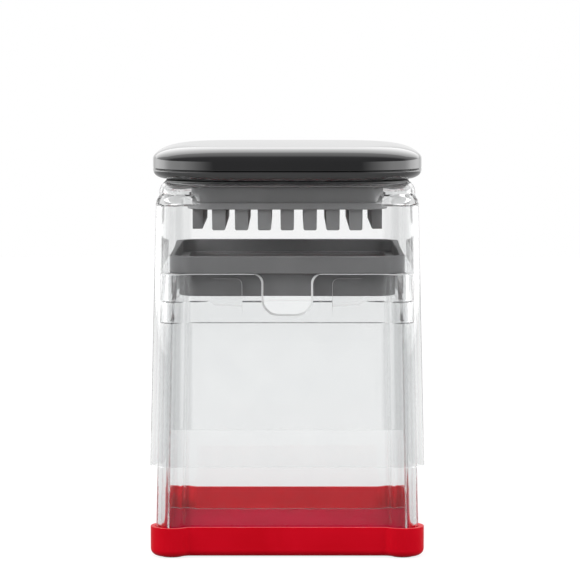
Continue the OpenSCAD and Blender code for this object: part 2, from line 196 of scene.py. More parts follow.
def start_material(name):
    """A new material with its Principled shader."""
    material = bpy.data.materials.new(name)
    material.use_nodes = True
    return material, material.node_tree.nodes["Principled BSDF"]


def add_node(tree, kind, **values):
    """A node with the given settings, and its inputs set by name."""
    node = tree.nodes.new(kind)
    for key, value in values.items():
        if key in node.inputs:
            node.inputs[key].default_value = value
        else:
            setattr(node, key, value)
    return node


def start_group(name, inputs, outputs):
    """A shader node group with named value inputs and outputs."""
    group = bpy.data.node_groups.new(name, "ShaderNodeTree")
    for label in inputs:
        group.interface.new_socket(label, in_out="INPUT", socket_type="NodeSocketFloat")
    for label in outputs:
        group.interface.new_socket(label, in_out="OUTPUT", socket_type="NodeSocketFloat")
    return group, group.nodes.new("NodeGroupInput"), group.nodes.new("NodeGroupOutput")


def moulded_grain_group():
    """Moulded plastic: a fine spark-eroded grain, and a slow drift in tone from the flow of the melt."""
    group, given, result = start_group("moulded_grain", ["Grain Scale", "Flow Scale"], ["Grain", "Flow"])
    place = add_node(group, "ShaderNodeTexCoord")
    grain = add_node(group, "ShaderNodeTexNoise", Detail=3.0, Roughness=0.6)
    flow = add_node(group, "ShaderNodeTexNoise", Detail=2.0, Roughness=0.5, Distortion=0.6)
    group.links.new(place.outputs["Object"], grain.inputs["Vector"])
    group.links.new(place.outputs["Object"], flow.inputs["Vector"])
    group.links.new(given.outputs["Grain Scale"], grain.inputs["Scale"])
    group.links.new(given.outputs["Flow Scale"], flow.inputs["Scale"])
    group.links.new(grain.outputs["Fac"], result.inputs["Grain"])
    group.links.new(flow.outputs["Fac"], result.inputs["Flow"])
    return group


moulded_grain = moulded_grain_group()


def place_group(material, group, **values):
    """Places a shared effect in a material with its own values."""
    node = material.node_tree.nodes.new("ShaderNodeGroup")
    node.node_tree = group
    for key, value in values.items():
        node.inputs[key.replace("_", " ")].default_value = value
    return node


mask_low = 0.3
mask_high = 0.7


def tint(material, mask, low, high, target):
    """Runs a colour from low to high over a mask and links it to a colour input."""
    ramp = add_node(material.node_tree, "ShaderNodeValToRGB")
    ramp.color_ramp.elements[0].position = mask_low
    ramp.color_ramp.elements[0].color = (*low, 1)
    ramp.color_ramp.elements[1].position = mask_high
    ramp.color_ramp.elements[1].color = (*high, 1)
    material.node_tree.links.new(mask, ramp.inputs["Fac"])
    material.node_tree.links.new(ramp.outputs["Color"], target)


def value_span(tree, low, high, at_low, at_high):
    """A node that runs from one value to another while its input goes from low to high."""
    span = add_node(tree, "ShaderNodeMapRange")
    span.inputs["From Min"].default_value = low
    span.inputs["From Max"].default_value = high
    span.inputs["To Min"].default_value = at_low
    span.inputs["To Max"].default_value = at_high
    return span


def spread(material, mask, low, high, target):
    """Runs a value from low to high over a mask and links it to an input."""
    span = value_span(material.node_tree, mask_low, mask_high, low, high)
    material.node_tree.links.new(mask, span.inputs["Value"])
    material.node_tree.links.new(span.outputs["Result"], target)


def emboss(material, mask, strength, depth, shader):
    """Raises the surface by a mask."""
    bump = add_node(material.node_tree, "ShaderNodeBump", Strength=strength, Distance=depth)
    material.node_tree.links.new(mask, bump.inputs["Height"])
    material.node_tree.links.new(bump.outputs["Normal"], shader.inputs["Normal"])


def paint_faces(piece, test, number):
    """Gives the faces that pass the test the piece's material of that number."""
    bpy.context.view_layer.objects.active = piece
    bpy.ops.object.mode_set(mode="EDIT")
    pick("FACE", test)
    piece.active_material_index = number
    bpy.ops.object.material_slot_assign()
    bpy.ops.mesh.select_mode(type="VERT")
    bpy.ops.object.mode_set(mode="OBJECT")


def moulded_plastic(name, low, high, smooth, rough, shine, grain_depth):
    """Satin moulded plastic between two tones and two roughness values."""
    material, shader = start_material(name)
    shader.inputs["Specular IOR Level"].default_value = shine
    grain = place_group(material, moulded_grain, Grain_Scale=2200.0, Flow_Scale=38.0)
    tint(material, grain.outputs["Flow"], low, high, shader.inputs["Base Color"])
    spread(material, grain.outputs["Grain"], smooth, rough, shader.inputs["Roughness"])
    emboss(material, grain.outputs["Grain"], strength=0.35, depth=grain_depth, shader=shader)
    return material


red_plastic = moulded_plastic("red_plastic", low=(0.66, 0.002, 0.012), high=(0.74, 0.003, 0.017),
                              smooth=0.3, rough=0.42, shine=0.06, grain_depth=0.03 * MM)
# The floor's red is painted darker than the walls' red, as the shade inside the tray; the floor is also
# matt.
red_matt_shaded = moulded_plastic("red_matt_shaded", low=(0.45, 0.002, 0.026), high=(0.51, 0.003, 0.035),
                           smooth=0.5, rough=0.65, shine=0.0, grain_depth=0.05 * MM)
tray.data.materials.append(red_plastic)
tray.data.materials.append(red_matt_shaded)


def is_tray_floor(face):
    """True for the faces of the tray's floor."""
    return face.normal.z > 0.5 and face.calc_center_median().z < tray_high[2] - MM


paint_faces(tray, is_tray_floor, number=1)
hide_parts("base_tray")
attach(tray, "base")

# Feet
# Four round pads of dark rubber are pressed into shallow recesses under the tray's columns.
# Their grip faces are matt and finely pitted, so the nodes keep their shape and take a rubber finish.



def finish_node(name, material):
    """Gives a node that keeps its shape its finish."""
    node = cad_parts[name]
    node.data.materials.clear()
    node.data.materials.append(material)


foot_rubber = moulded_plastic("foot_rubber", low=(0.018, 0.018, 0.019), high=(0.03, 0.03, 0.031),
                              smooth=0.7, rough=0.9, shine=0.25, grain_depth=0.06 * MM)
for number in range(1, 5):
    finish_node(f"foot_{number}", foot_rubber)

# Container
# A clear tube, open at both ends, stands in the tray and narrows upwards for the mould.
# Its wall thickens in two steps near the rim, with a finger notch front and back
# and pads that guide the insert.

container_low, container_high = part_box("container")
stand_off = 0.05 * MM
container_wall = 2.0 * MM
container_column_r = 7.1 * MM
container_column_blend = 4.8 * MM
container_draft = 2.5 * MM
container_edge_r = 0.35 * MM
wall_step = 0.4 * MM
lower_step_z = container_high[2] - 21.6 * MM
upper_step_z = container_high[2] - 12.4 * MM
rim_z = container_high[2] - stand_off
notch_half = 11.5 * MM
notch_d = 18.6 * MM
notch_r = 7.5 * MM
notch_flare = 4.5 * MM
notch_y = 53.0 * MM
notch_run = 4.5 * MM
notch_draft = 1.4 * MM
notch_steps = 10
flare_steps = 8
pad_inner = 19.3 * MM
pad_w = 12.0 * MM
pad_h = 13.0 * MM
pad_drop = 1.8 * MM
pad_face = 48.75 * MM
pad_outer = 50.9 * MM
pad_slope = 8.0 * MM
pad_lean = 0.5 * MM
pad_corner_r = 2.5 * MM
pad_top = rim_z - pad_drop
pad_mid_x = pad_inner + pad_w / 2
pad_mid_y = (pad_face + pad_outer) / 2
pad_mid_z = pad_top - pad_h / 2


def drafted_walls(half, draft, heights):
    """Raises the walls through the given heights, drawn in evenly towards the last."""
    start = heights[0]
    run = heights[-1] - start
    before = half
    for low, high in zip(heights, heights[1:]):
        after = half - draft * (high - start) / run
        raise_edge(high - low, after / before)
        before = after


container = column_outline("clear_container", container_high[0], container_column_r, tray_column_proud,
                           container_column_blend, container_low[2] + stand_off)
container_levels = [container_low[2] + stand_off, lower_step_z, lower_step_z + wall_step, upper_step_z,
                    upper_step_z + wall_step, rim_z]
drafted_walls(container_high[0], container_draft, container_levels)
mirror_quarter(container)
bpy.ops.object.mode_set(mode="OBJECT")
outer_points = len(container.data.vertices)
add_modifier(container, "SOLIDIFY", thickness=container_wall, offset=-1, use_even_offset=True)
bpy.ops.object.mode_set(mode="EDIT")
step_scale = 1 - wall_step / (container_high[0] - tray_column_proud - container_draft - container_wall)
for step_z in (lower_step_z, upper_step_z):
    pick("VERT", lambda vert: vert.index >= outer_points and vert.co.z > step_z + wall_step / 2)
    bpy.ops.transform.resize(value=(step_scale, step_scale, 1), center_override=(0, 0, 0))
round_edges(container, container_edge_r, segments=2, angle=30)

notch = one_point("notch_cutter", 0, -notch_y, rim_z + notch_flare)
draw_on(notch_half + notch_flare, 0, 0)
draw_on(0, 0, -notch_flare)
arc_on(flare_steps, math.pi / 2, (notch_half + notch_flare, -notch_y, rim_z - notch_flare), (0, -1, 0))
draw_on(0, 0, notch_flare + notch_r - notch_d)
arc_on(notch_steps, -math.pi / 2, (notch_half - notch_r, -notch_y, rim_z - notch_d + notch_r), (0, -1, 0))
draw_on(notch_r - notch_half, 0, 0)
bpy.ops.object.mode_set(mode="OBJECT")
add_modifier(notch, "MIRROR", use_axis=(True, False, False), merge_threshold=NEAR)
bpy.ops.object.mode_set(mode="EDIT")
bpy.ops.mesh.select_all(action="SELECT")
bpy.ops.mesh.edge_face_add()
draw_on(0, notch_run, 0)
bpy.ops.transform.resize(value=(1 - notch_draft / notch_half, 1, 1 - notch_draft / notch_d),
                         center_override=(0, 0, rim_z))
bpy.ops.object.mode_set(mode="OBJECT")
add_modifier(notch, "MIRROR", use_axis=(False, True, False), use_mirror_merge=False)
bpy.ops.object.mode_set(mode="EDIT")
face_outwards()
bpy.ops.object.mode_set(mode="OBJECT")
add_modifier(container, "BOOLEAN", operation="DIFFERENCE", object=notch, solver="EXACT")
bpy.data.objects.remove(notch)

bpy.ops.object.select_all(action="DESELECT")
bpy.ops.mesh.primitive_cube_add(size=1, location=(pad_mid_x, -pad_mid_y, pad_mid_z))
pad = bpy.context.object
pad.scale = (pad_w, pad_outer - pad_face, pad_h)
bpy.ops.object.transform_apply(location=True, rotation=False, scale=True)
bpy.ops.object.mode_set(mode="EDIT")
pick("EDGE", lambda edge: all(v.co.x < pad_inner + MM and v.co.z > pad_top - MM for v in edge.verts))
bpy.ops.mesh.bevel(offset=pad_corner_r, segments=6, profile=0.5)
pick("VERT", lambda vert: vert.co.y > -pad_mid_y and vert.co.x < pad_mid_x)
bpy.ops.transform.translate(value=(pad_lean, 0, 0))
pick("VERT", lambda vert: vert.co.y > -pad_mid_y and vert.co.z > pad_mid_z)
bpy.ops.transform.translate(value=(0, 0, -pad_lean))
pick("VERT", lambda vert: vert.co.y < -pad_mid_y and vert.co.x > pad_mid_x)
bpy.ops.transform.translate(value=(pad_slope, 0, 0))
pick("VERT", lambda vert: vert.co.y < -pad_mid_y and vert.co.z < pad_mid_z)
bpy.ops.transform.translate(value=(0, 0, -pad_slope))
bpy.ops.object.mode_set(mode="OBJECT")
add_modifier(pad, "MIRROR", use_axis=(True, True, False), use_mirror_merge=False)
bpy.ops.object.mode_set(mode="EDIT")
face_outwards()
bpy.ops.object.mode_set(mode="OBJECT")
add_modifier(container, "BOOLEAN", operation="UNION", object=pad, solver="EXACT")
bpy.data.objects.remove(pad)
shade_smooth(container, angle=30)


def handling_marks_group():
    """Polished plastic in use: faint smears, and sparse fine scuffs."""
    group, given, result = start_group("handling_marks", ["Smear Scale", "Scuff Scale"], ["Smear", "Scuff"])
    place = add_node(group, "ShaderNodeTexCoord")
    smear = add_node(group, "ShaderNodeTexNoise", Detail=4.0, Roughness=0.55, Distortion=1.2)
    scuff = add_node(group, "ShaderNodeTexNoise", Detail=6.0, Roughness=0.7, Distortion=2.0)
    group.links.new(place.outputs["Object"], smear.inputs["Vector"])
    group.links.new(place.outputs["Object"], scuff.inputs["Vector"])
    group.links.new(given.outputs["Smear Scale"], smear.inputs["Scale"])
    group.links.new(given.outputs["Scuff Scale"], scuff.inputs["Scale"])
    group.links.new(smear.outputs["Fac"], result.inputs["Smear"])
    group.links.new(scuff.outputs["Fac"], result.inputs["Scuff"])
    return group


handling_marks = handling_marks_group()


def corner_mask_group():
    """Corner columns of a square piece, where clear plastic takes painted shade: 0 on the flat sides, 1 on
    the columns, less on their outer edges.
    """
    group, given, result = start_group("corner_mask", ["Start", "End", "Rim Start", "Rim End"], ["Corner"])
    place = add_node(group, "ShaderNodeTexCoord")
    parts = add_node(group, "ShaderNodeSeparateXYZ")
    far_x = add_node(group, "ShaderNodeMath", operation="ABSOLUTE")
    far_y = add_node(group, "ShaderNodeMath", operation="ABSOLUTE")
    nearer = add_node(group, "ShaderNodeMath", operation="MINIMUM")
    span = add_node(group, "ShaderNodeMapRange")
    rim = value_span(group, low=0.0, high=1.0, at_low=1.0, at_high=0.2)
    column = add_node(group, "ShaderNodeMath", operation="MULTIPLY")
    group.links.new(place.outputs["Object"], parts.inputs["Vector"])
    group.links.new(parts.outputs["X"], far_x.inputs[0])
    group.links.new(parts.outputs["Y"], far_y.inputs[0])
    group.links.new(far_x.outputs["Value"], nearer.inputs[0])
    group.links.new(far_y.outputs["Value"], nearer.inputs[1])
    group.links.new(nearer.outputs["Value"], span.inputs["Value"])
    group.links.new(given.outputs["Start"], span.inputs["From Min"])
    group.links.new(given.outputs["End"], span.inputs["From Max"])
    group.links.new(nearer.outputs["Value"], rim.inputs["Value"])
    group.links.new(given.outputs["Rim Start"], rim.inputs["From Min"])
    group.links.new(given.outputs["Rim End"], rim.inputs["From Max"])
    group.links.new(span.outputs["Result"], column.inputs[0])
    group.links.new(rim.outputs["Result"], column.inputs[1])
    group.links.new(column.outputs["Value"], result.inputs["Corner"])
    return group


corner_mask = corner_mask_group()


MIX_FACTOR = 0
MIX_A = 6
MIX_B = 7
MIX_RESULT = 2
column_fade = 2.0 * MM
rim_fade = 1.5 * MM


def clear_plastic(name, low, high, painted_shade, column_at, rim_at):
    """Clear plastic with painted shade edge-on and in its columns, that lets the lamps through to what is
    inside.
    """
    material, shader = start_material(name)
    tree = material.node_tree
    shader.inputs["Transmission Weight"].default_value = 1.0
    shader.inputs["IOR"].default_value = 1.4
    marks = place_group(material, handling_marks, Smear_Scale=45.0, Scuff_Scale=320.0)
    # Layer Weight and the column mask mix a painted shade into the base colour, greyer edge-on and in the
    # columns.
    slant = add_node(tree, "ShaderNodeLayerWeight", Blend=0.35)
    tone = add_node(tree, "ShaderNodeMix", data_type="RGBA")
    tone.inputs[MIX_B].default_value = (*painted_shade, 1)
    tint(material, marks.outputs["Smear"], low, high, tone.inputs[MIX_A])
    corner = place_group(material, corner_mask, Start=column_at, End=column_at + column_fade,
                         Rim_Start=rim_at, Rim_End=rim_at + rim_fade)
    shade_share = add_node(tree, "ShaderNodeMath", operation="MAXIMUM")
    tree.links.new(slant.outputs["Facing"], shade_share.inputs[0])
    tree.links.new(corner.outputs["Corner"], shade_share.inputs[1])
    tree.links.new(shade_share.outputs["Value"], tone.inputs[MIX_FACTOR])
    tree.links.new(tone.outputs[MIX_RESULT], shader.inputs["Base Color"])
    spread(material, marks.outputs["Scuff"], low=0.0, high=0.02, target=shader.inputs["Roughness"])
    emboss(material, marks.outputs["Smear"], strength=0.03, depth=0.05 * MM, shader=shader)
    path = add_node(tree, "ShaderNodeLightPath")
    through = add_node(tree, "ShaderNodeBsdfTransparent")
    mixed = add_node(tree, "ShaderNodeMixShader")
    tree.links.new(path.outputs["Is Shadow Ray"], mixed.inputs["Fac"])
    tree.links.new(shader.outputs["BSDF"], mixed.inputs[1])
    tree.links.new(through.outputs["BSDF"], mixed.inputs[2])
    tree.links.new(mixed.outputs["Shader"], tree.nodes["Material Output"].inputs["Surface"])
    return material


container_clear = clear_plastic("container_clear", low=(0.915, 0.92, 0.922), high=(0.93, 0.935, 0.936),
                                painted_shade=(0.88, 0.885, 0.887), column_at=47.0 * MM, rim_at=56.0 * MM)
# The cut and rim edges take an opaque whitish plastic: a painted highlight in place of the light that the
# clear edges catch.
painted_edge_highlight = moulded_plastic("painted_edge_highlight", low=(0.78, 0.785, 0.787), high=(0.86, 0.865, 0.867),
                                 smooth=0.35, rough=0.5, shine=0.4, grain_depth=0.02 * MM)
container.data.materials.append(container_clear)
container.data.materials.append(painted_edge_highlight)


rim_edge = 0.4 * MM
wall_from = 40.0 * MM


def is_painted_highlight_edge(face):
    """True for the faces of the rim's edge, the notches and the pads' inner and upper sides, which take the
    painted highlight.
    """
    at = face.calc_center_median()
    near = abs(at.x) < pad_inner + pad_w and abs(at.y) > wall_from and at.z > rim_z - notch_d - MM
    return at.z > rim_z - rim_edge or (near and abs(face.normal.y) < 0.9 and face.normal.z > -0.3)


# The edge faces get the painted highlight.
paint_faces(container, is_painted_highlight_edge, number=1)
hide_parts("container")
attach(container, "container")

# Blade insert
# Two square frames in satin grey plastic hold the blades: the collar's flange sits on the container's rim,
# and the skirt below it hangs inside the rim, with a ledge on which the blade ends lie.


def rounded_slab(name, half, corner_r, low, high):
    """A square slab with round corners, in edit mode with its upper face selected."""
    bpy.ops.object.select_all(action="DESELECT")
    bpy.ops.mesh.primitive_plane_add(size=2 * half, location=(0, 0, low))
    piece = bpy.context.object
    piece.name = name
    bpy.ops.object.transform_apply(location=True, rotation=False, scale=False)
    bpy.ops.object.mode_set(mode="EDIT")
    bpy.ops.mesh.bevel(offset=corner_r, segments=10, profile=0.5, affect="VERTICES")
    bpy.ops.mesh.select_all(action="SELECT")
    draw_on(0, 0, high - low)
    return piece


frame_edge_r = 0.5 * MM


def square_frame(name, half, corner_r, low, high, wall, ledge_z, ledge):
    """A square frame with an upright wall and a ledge that leaves an opening in the middle."""
    piece = rounded_slab(name, half, corner_r, low, high)
    bpy.ops.mesh.inset(thickness=wall, use_even_offset=True)
    draw_on(0, 0, ledge_z - high)
    bpy.ops.mesh.inset(thickness=ledge, use_even_offset=True)
    draw_on(0, 0, low - ledge_z)
    bpy.ops.mesh.delete(type="FACE")
    pick("FACE", lambda face: face.calc_center_median().z < low + NEAR and len(face.verts) > 8)
    bpy.ops.mesh.delete(type="ONLY_FACE")
    pick("EDGE", lambda edge: edge.is_boundary)
    bpy.ops.mesh.bridge_edge_loops()
    face_outwards()
    finish_edges(piece, frame_edge_r)
    return piece


collar_low, collar_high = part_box("insert_collar")
collar_wall = 2.5 * MM
collar_floor = 2.0 * MM
collar_r = 10.0 * MM
opening_half = 45.2 * MM
collar = square_frame("grey_collar", collar_high[0], collar_r, collar_low[2], collar_high[2], collar_wall,
                      collar_low[2] + collar_floor, collar_high[0] - collar_wall - opening_half)

skirt_low, skirt_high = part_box("insert_skirt")
skirt_wall = 1.6 * MM
skirt_r = 9.5 * MM
ledge_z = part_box("blade_long_1")[0][2]
skirt = square_frame("grey_skirt", skirt_high[0], skirt_r, skirt_low[2], skirt_high[2] - stand_off,
                     skirt_wall, ledge_z - stand_off, skirt_high[0] - skirt_wall - opening_half)

grey_plastic = moulded_plastic("grey_plastic", low=(0.155, 0.155, 0.158), high=(0.18, 0.18, 0.183),
                               smooth=0.36, rough=0.5, shine=0.25, grain_depth=0.03 * MM)
for piece, node in ((collar, "insert_collar"), (skirt, "insert_skirt")):
    piece.data.materials.append(grey_plastic)
    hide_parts(node)
    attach(piece, "insert")

# Blades
# Sixteen strips of thin stainless steel cross in half-lap slots, with their ends on the skirt's ledge.
# They are rolled and ground, so fine lines run along each strip and its edge is brighter.


def rolled_lines_group():
    """Rolled metal: fine lines that run along the strip, and a slow change of tone."""
    group, given, result = start_group("rolled_lines", ["Line Scale", "Stretch"], ["Lines", "Tone"])
    place = add_node(group, "ShaderNodeTexCoord")
    parts = add_node(group, "ShaderNodeSeparateXYZ")
    shrink_x = add_node(group, "ShaderNodeMath", operation="MULTIPLY")
    shrink_y = add_node(group, "ShaderNodeMath", operation="MULTIPLY")
    joined = add_node(group, "ShaderNodeCombineXYZ")
    lines = add_node(group, "ShaderNodeTexNoise", Detail=4.0, Roughness=0.6)
    tone = add_node(group, "ShaderNodeTexNoise", Scale=60.0, Detail=2.0)
    group.links.new(place.outputs["Object"], parts.inputs["Vector"])
    group.links.new(parts.outputs["X"], shrink_x.inputs[0])
    group.links.new(parts.outputs["Y"], shrink_y.inputs[0])
    group.links.new(given.outputs["Stretch"], shrink_x.inputs[1])
    group.links.new(given.outputs["Stretch"], shrink_y.inputs[1])
    group.links.new(shrink_x.outputs["Value"], joined.inputs["X"])
    group.links.new(shrink_y.outputs["Value"], joined.inputs["Y"])
    group.links.new(parts.outputs["Z"], joined.inputs["Z"])
    group.links.new(joined.outputs["Vector"], lines.inputs["Vector"])
    group.links.new(given.outputs["Line Scale"], lines.inputs["Scale"])
    group.links.new(place.outputs["Object"], tone.inputs["Vector"])
    group.links.new(lines.outputs["Fac"], result.inputs["Lines"])
    group.links.new(tone.outputs["Fac"], result.inputs["Tone"])
    return group


rolled_lines = rolled_lines_group()


def ground_steel(name, low, high, smooth, rough, line_scale, stretch):
    """Bare steel with fine lines from rolling or turning."""
    material, shader = start_material(name)
    shader.inputs["Metallic"].default_value = 1.0
    lines = place_group(material, rolled_lines, Line_Scale=line_scale, Stretch=stretch)
    tint(material, lines.outputs["Tone"], low, high, shader.inputs["Base Color"])
    spread(material, lines.outputs["Lines"], smooth, rough, shader.inputs["Roughness"])
    emboss(material, lines.outputs["Lines"], strength=0.25, depth=0.01 * MM, shader=shader)
    return material


blade_steel = ground_steel("blade_steel", low=(0.62, 0.63, 0.64), high=(0.72, 0.73, 0.74),
                           smooth=0.18, rough=0.34, line_scale=5200.0, stretch=0.02)
for kind in ("long", "cross"):
    for number in range(1, 9):
        finish_node(f"blade_{kind}_{number}", blade_steel)

# Pusher
# A satin grey moulding in the sleeve's head: a square plate, a hollow boss with four screw posts above it,
# and one square pin under the plate for each cell of the blades but the four in the corners.

plate_low, plate_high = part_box("pusher")
plate_t = 3.1 * MM
plate_r = 11.0 * MM
boss_half = 42.0 * MM
boss_wall = 2.2 * MM
post_at = 28.0 * MM
post_r = 4.0 * MM
post_bore = 1.6 * MM
plate_edge_r = 0.4 * MM
plate_top = plate_low[2] + plate_t
boss_top = plate_high[2]
plate = rounded_slab("pin_plate", plate_high[0], plate_r, plate_low[2], plate_top)
bpy.ops.mesh.inset(thickness=plate_high[0] - boss_half, use_even_offset=True)
draw_on(0, 0, boss_top - plate_top)
bpy.ops.mesh.inset(thickness=boss_wall, use_even_offset=True)
draw_on(0, 0, plate_top - boss_top)
face_outwards()
for x in (-post_at, post_at):
    for y in (-post_at, post_at):
        bpy.ops.mesh.select_all(action="DESELECT")
        bpy.ops.mesh.primitive_cylinder_add(vertices=24, radius=post_r, depth=boss_top - plate_top,
                                            location=(x, y, (boss_top + plate_top) / 2))
        pick("FACE", lambda face: face.calc_center_median().z > boss_top - NEAR
             and math.hypot(face.calc_center_median().x - x, face.calc_center_median().y - y) < MM)
        bpy.ops.mesh.inset(thickness=post_r - post_bore)
        draw_on(0, 0, plate_top - boss_top + MM)
finish_edges(plate, plate_edge_r)

pin_low, pin_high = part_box("pusher_pins")
pitch = 10.0 * MM
pin_w = 6.0 * MM
pin_taper = 0.96
pin_tip_r = 0.7 * MM
pin_edge_r = 0.35 * MM
pin_upright = 4.0 * MM
pins_across = 9
first_pin = -pitch * (pins_across - 1) / 2
bpy.ops.object.select_all(action="DESELECT")
bpy.ops.mesh.primitive_cube_add(size=1, location=(first_pin, first_pin, (pin_low[2] + pin_high[2]) / 2))
pins = bpy.context.object
pins.name = "pin_bed"
pins.scale = (pin_w, pin_w, pin_high[2] - pin_low[2])
bpy.ops.object.transform_apply(location=True, rotation=False, scale=True)
bpy.ops.object.mode_set(mode="EDIT")
pick("FACE", lambda face: face.normal.z < -0.9)
bpy.ops.transform.resize(value=(pin_taper, pin_taper, 1), center_override=(first_pin, first_pin, 0))
pick("EDGE", lambda edge: at_height(edge, pin_low[2]))
bpy.ops.mesh.bevel(offset=pin_tip_r, segments=3, profile=0.5)
pick("EDGE", lambda edge: abs(edge.verts[0].co.z - edge.verts[1].co.z) > pin_upright)
bpy.ops.mesh.bevel(offset=pin_edge_r, segments=2, profile=0.5)
bpy.ops.object.mode_set(mode="OBJECT")
for step in ((pitch, 0, 0), (0, pitch, 0)):
    add_modifier(pins, "ARRAY", count=pins_across, use_relative_offset=False, use_constant_offset=True,
                 constant_offset_displace=step)
bpy.ops.object.mode_set(mode="EDIT")
pick("VERT", lambda vert: abs(vert.co.x) > 3.5 * pitch and abs(vert.co.y) > 3.5 * pitch)
bpy.ops.mesh.delete(type="VERT")
for normal in ((1, 0, 0), (-1, 0, 0), (0, 1, 0), (0, -1, 0)):
    bpy.ops.mesh.select_all(action="SELECT")
    bpy.ops.mesh.bisect(plane_co=[pin_high[0] * part for part in normal], plane_no=normal, use_fill=True,
                        clear_outer=True)
bpy.ops.object.mode_set(mode="OBJECT")
bpy.ops.object.select_all(action="DESELECT")
pins.select_set(True)
bpy.ops.object.shade_smooth_by_angle(angle=math.radians(40))

# The pusher takes a lighter copy of the insert's grey plastic: painted light that makes up for the shade
# under the lid and plate.
lit_pusher_grey = moulded_plastic("lit_pusher_grey", low=(0.225, 0.225, 0.228), high=(0.26, 0.26, 0.263),
                              smooth=0.36, rough=0.5, shine=0.3, grain_depth=0.03 * MM)
for piece, node in ((plate, "pusher"), (pins, "pusher_pins")):
    piece.data.materials.append(lit_pusher_grey)
    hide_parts(node)
    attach(piece, "press")

# Sleeve
# A clear drafted sleeve, open below, slides down over the container. Its corner columns end in domes
# under a rounded shoulder, and screws clamp its roof between the lid and the pusher. The roof is painted
# opaque grey as shade under the lid, and the domes take a greyer copy of the clear plastic as painted shade.

sleeve_low, sleeve_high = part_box("sleeve")
sleeve_wall = 1.8 * MM
sleeve_draft = 2.8 * MM
sleeve_column_r = 9.4 * MM
sleeve_proud = 1.1 * MM
sleeve_blend = 45.0 * MM
sleeve_edge_r = 0.4 * MM
dome_d = 10.7 * MM
dome_h = 5.3 * MM
dome_roof = 4.5 * MM
dome_steps = 10
dome_from = 66.65 * MM
dome_keep = 0.5
shoulder_run = 4.2 * MM
shoulder_steps = 8
dome_z = sleeve_high[2] - dome_d
shoulder_z = dome_z + dome_h
sleeve = column_outline("clear_sleeve", sleeve_high[0], sleeve_column_r, sleeve_proud, sleeve_blend,
                        sleeve_low[2])
drafted_walls(sleeve_high[0], sleeve_draft, [sleeve_low[2], dome_z])
cos_45 = 0.70711
diagonal = ((cos_45, cos_45, 0), (-cos_45, cos_45, 0), (0, 0, 1))
kept = 1.0
for step in range(1, dome_steps + 1):
    share = step / dome_steps
    now = 1 - (1 - dome_keep) * (1 - math.sqrt(1 - share * share))
    draw_on(0, 0, dome_h / dome_steps)
    level = dome_z + dome_h * share
    pick("VERT", lambda vert: abs(vert.co.z - level) < NEAR
         and vert.co.x + vert.co.y > dome_from * math.sqrt(2))
    bpy.ops.transform.resize(value=(now / kept, 1, 1), orient_type="GLOBAL", orient_matrix=diagonal,
                             orient_matrix_type="GLOBAL", constraint_axis=(True, False, False),
                             center_override=(dome_from * cos_45, dome_from * cos_45, 0))
    pick("EDGE", lambda edge: at_height(edge, level))
    kept = now
shoulder_half = sleeve_high[0] - sleeve_draft - sleeve_proud
before_half = shoulder_half
before_z = shoulder_z
for step in range(1, shoulder_steps + 1):
    angle = math.pi / 2 * step / shoulder_steps
    after_half = shoulder_half - shoulder_run * (1 - math.cos(angle))
    after_z = shoulder_z + (sleeve_high[2] - shoulder_z) * math.sin(angle)
    raise_edge(after_z - before_z, after_half / before_half)
    before_half = after_half
    before_z = after_z
mirror_quarter(sleeve)
pick("EDGE", lambda edge: at_height(edge, sleeve_high[2]))
bpy.ops.mesh.edge_face_add()
face_outwards()
bpy.ops.object.mode_set(mode="OBJECT")
outer_points = len(sleeve.data.vertices)
add_modifier(sleeve, "SOLIDIFY", thickness=sleeve_wall, offset=-1, use_even_offset=True)
bpy.ops.object.mode_set(mode="EDIT")
pick("VERT", lambda vert: vert.index >= outer_points and dome_z < vert.co.z < shoulder_z + 5 * NEAR)
dome_shrink = (dome_h - dome_roof) / (dome_h - sleeve_wall)
bpy.ops.transform.resize(value=(1, 1, dome_shrink), center_override=(0, 0, dome_z))
finish_edges(sleeve, sleeve_edge_r, angle=40)

sleeve_clear = clear_plastic("sleeve_clear", low=(0.982, 0.986, 0.987), high=(0.994, 0.996, 0.996),
                             painted_shade=(0.86, 0.865, 0.867), column_at=44.5 * MM, rim_at=52.5 * MM)
# The roof is painted an opaque grey as the shade under the lid.
painted_roof_shade = moulded_plastic("painted_roof_shade", low=(0.45, 0.45, 0.453), high=(0.5, 0.5, 0.503),
                              smooth=0.4, rough=0.6, shine=0.3, grain_depth=0.02 * MM)
# The domes take a greyer copy of the clear plastic: painted shade.
sleeve_dome = clear_plastic("sleeve_dome", low=(0.94, 0.944, 0.945), high=(0.955, 0.958, 0.959),
                            painted_shade=(0.78, 0.785, 0.787), column_at=40.0 * MM, rim_at=56.0 * MM)
sleeve.data.materials.append(sleeve_clear)
sleeve.data.materials.append(painted_roof_shade)
sleeve.data.materials.append(sleeve_dome)


def is_sleeve_roof(face):
    """True for the flat faces of the sleeve's roof, between the lid and the pusher."""
    return abs(face.normal.z) > 0.93 and face.calc_center_median().z > shoulder_z + MM


# Everything above the domes' start gets the painted dome shade, and the roof then gets its painted grey.
paint_faces(sleeve, lambda face: face.calc_center_median().z > dome_z + 10 * NEAR, number=2)
paint_faces(sleeve, is_sleeve_roof, number=1)
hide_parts("sleeve")
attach(sleeve, "press")

# Lid
# Two shells in dark plastic close on a thin seam: a dish on a low neck, screwed down on the sleeve,
# and a glossy crowned cap that takes the palm of the hand.


